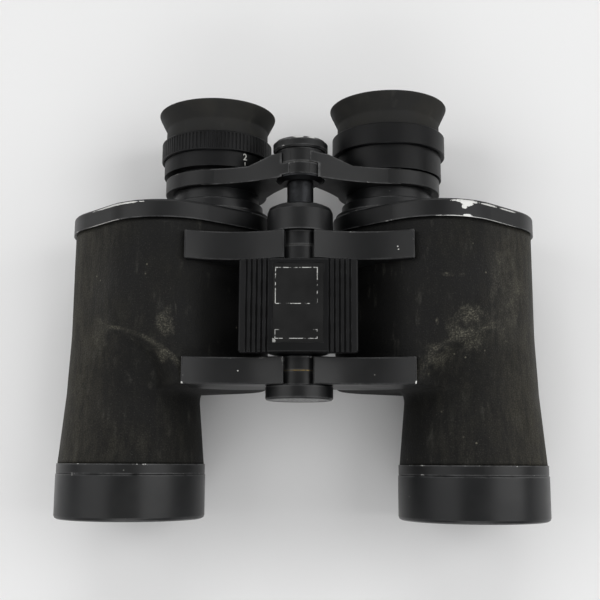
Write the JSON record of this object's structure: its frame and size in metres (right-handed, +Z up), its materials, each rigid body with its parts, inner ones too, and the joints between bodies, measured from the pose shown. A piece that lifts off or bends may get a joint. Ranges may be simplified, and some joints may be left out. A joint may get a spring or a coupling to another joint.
{
  "type": "porro prism binoculars",
  "caption": "Porro-prism binoculars with a centre hinge, a rocking focus lever, a dioptre ring, rubber eyecups and leatherette-covered barrels.",
  "frame": {"origin": "below the middle of the object, on the surface that it lies on", "axes": "+X towards the left half of the binoculars, +Y from the objectives to the eyepieces, +Z up through the focus lever"},
  "size_m": [0.1718, 0.1474, 0.0663],
  "materials": {
    "black_painted_metal": "semi-gloss black paint over light alloy, chipped at the edges",
    "black_anodised": "satin black anodised",
    "leatherette": "matte pebbled, dusty",
    "eyecup_rubber": "matte, dusty",
    "optical_glass": "polished and coated",
    "brass": "bare",
    "steel": "blackened",
    "black_plastic": "satin moulded",
    "nameplate_black": "satin black with a worn white frame line",
    "badge_silver": "brushed"
  },
  "bodies": {
    "centre_hinge": {"hinge_axle": "steel", "hinge_washers": "brass", "hub_nut": "black_painted_metal", "front_cap": "black_painted_metal", "front_badge": "badge_silver"},
    "left_half": {"left_body_casting": "black_painted_metal", "left_leatherette": "leatherette", "left_prism_cover": "black_painted_metal", "left_cover_screws": "steel", "left_prism_shelf": "black_anodised", "left_rear_prism": "optical_glass", "left_front_prism": "optical_glass", "left_prism_clips": "steel", "left_objective_cap": "black_anodised", "left_objective_cell": "black_anodised", "left_objective_crown_lens": "optical_glass", "left_objective_flint_lens": "optical_glass", "left_objective_retainer": "black_anodised", "left_guide_tube": "black_anodised"},
    "right_half": {"right_body_casting": "black_painted_metal", "right_leatherette": "leatherette", "right_prism_cover": "black_painted_metal", "right_cover_screws": "steel", "right_prism_shelf": "black_anodised", "right_rear_prism": "optical_glass", "right_front_prism": "optical_glass", "right_prism_clips": "steel", "right_objective_cap": "black_anodised", "right_objective_cell": "black_anodised", "right_objective_crown_lens": "optical_glass", "right_objective_flint_lens": "optical_glass", "right_objective_retainer": "black_anodised", "right_guide_tube": "black_anodised"},
    "focus_lever": {"focus_rocker": "black_plastic", "rocker_nameplate": "nameplate_black"},
    "focus_carriage": {"focus_rod": "steel", "drive_pin": "steel", "bridge_washer": "brass", "bridge_cap": "black_painted_metal"},
    "left_eyepiece": {"left_bridge_arm": "black_painted_metal", "left_eyepiece_barrel": "black_anodised", "left_field_lens": "optical_glass", "left_spacer_ring": "black_plastic", "left_ocular_collar": "black_plastic", "left_ocular_cell": "black_anodised", "left_eye_lens": "optical_glass", "left_eyecup": "eyecup_rubber"},
    "right_eyepiece": {"right_bridge_arm": "black_painted_metal", "right_eyepiece_barrel": "black_anodised", "right_field_lens": "optical_glass"},
    "diopter_ring": {"diopter_scale_ring": "black_plastic", "diopter_grip_ring": "black_plastic"},
    "right_ocular": {"right_ocular_cell": "black_anodised", "right_eye_lens": "optical_glass", "right_eyecup": "eyecup_rubber"}
  },
  "joints": [
    {"name": "left_half_hinge", "type": "hinge", "parent": "centre_hinge", "child": "left_half", "pos_m": [0, 0, 0.0505], "axis": [0, -1, 0], "range_deg": [-8, 20]},
    {"name": "right_half_hinge", "type": "hinge", "parent": "centre_hinge", "child": "right_half", "pos_m": [0, 0, 0.0505], "axis": [0, 1, 0], "range_deg": [-8, 20]},
    {"name": "focus_lever_rock", "type": "hinge", "parent": "centre_hinge", "child": "focus_lever", "pos_m": [0, 0, 0.0505], "axis": [0, -1, 0], "range_deg": [-20, 20]},
    {"name": "focus_carriage_slide", "type": "slide", "parent": "centre_hinge", "child": "focus_carriage", "axis": [0, 1, 0], "range_m": [-0.0035, 0.0035]},
    {"name": "left_eyepiece_slide", "type": "slide", "parent": "left_half", "child": "left_eyepiece", "axis": [0, 1, 0], "range_m": [-0.0035, 0.0035]},
    {"name": "right_eyepiece_slide", "type": "slide", "parent": "right_half", "child": "right_eyepiece", "axis": [0, 1, 0], "range_m": [-0.0035, 0.0035]},
    {"name": "diopter_turn", "type": "hinge", "parent": "right_eyepiece", "child": "diopter_ring", "pos_m": [-0.0314, 0, 0.0288], "axis": [0, 1, 0], "range_deg": [-60, 60]},
    {"name": "right_ocular_slide", "type": "slide", "parent": "right_eyepiece", "child": "right_ocular", "axis": [0, 1, 0], "range_m": [-0.001, 0.001]}
  ],
  "couplings": [
    {"joint": "right_half_hinge", "follows": "left_half_hinge", "ratio": 1},
    {"joint": "focus_lever_rock", "follows": "focus_carriage_slide", "rad_per_m": 99.733},
    {"joint": "left_eyepiece_slide", "follows": "focus_carriage_slide", "ratio": 1},
    {"joint": "right_eyepiece_slide", "follows": "focus_carriage_slide", "ratio": 1},
    {"joint": "diopter_turn", "follows": "right_ocular_slide", "rad_per_m": 1047.2}
  ]
}
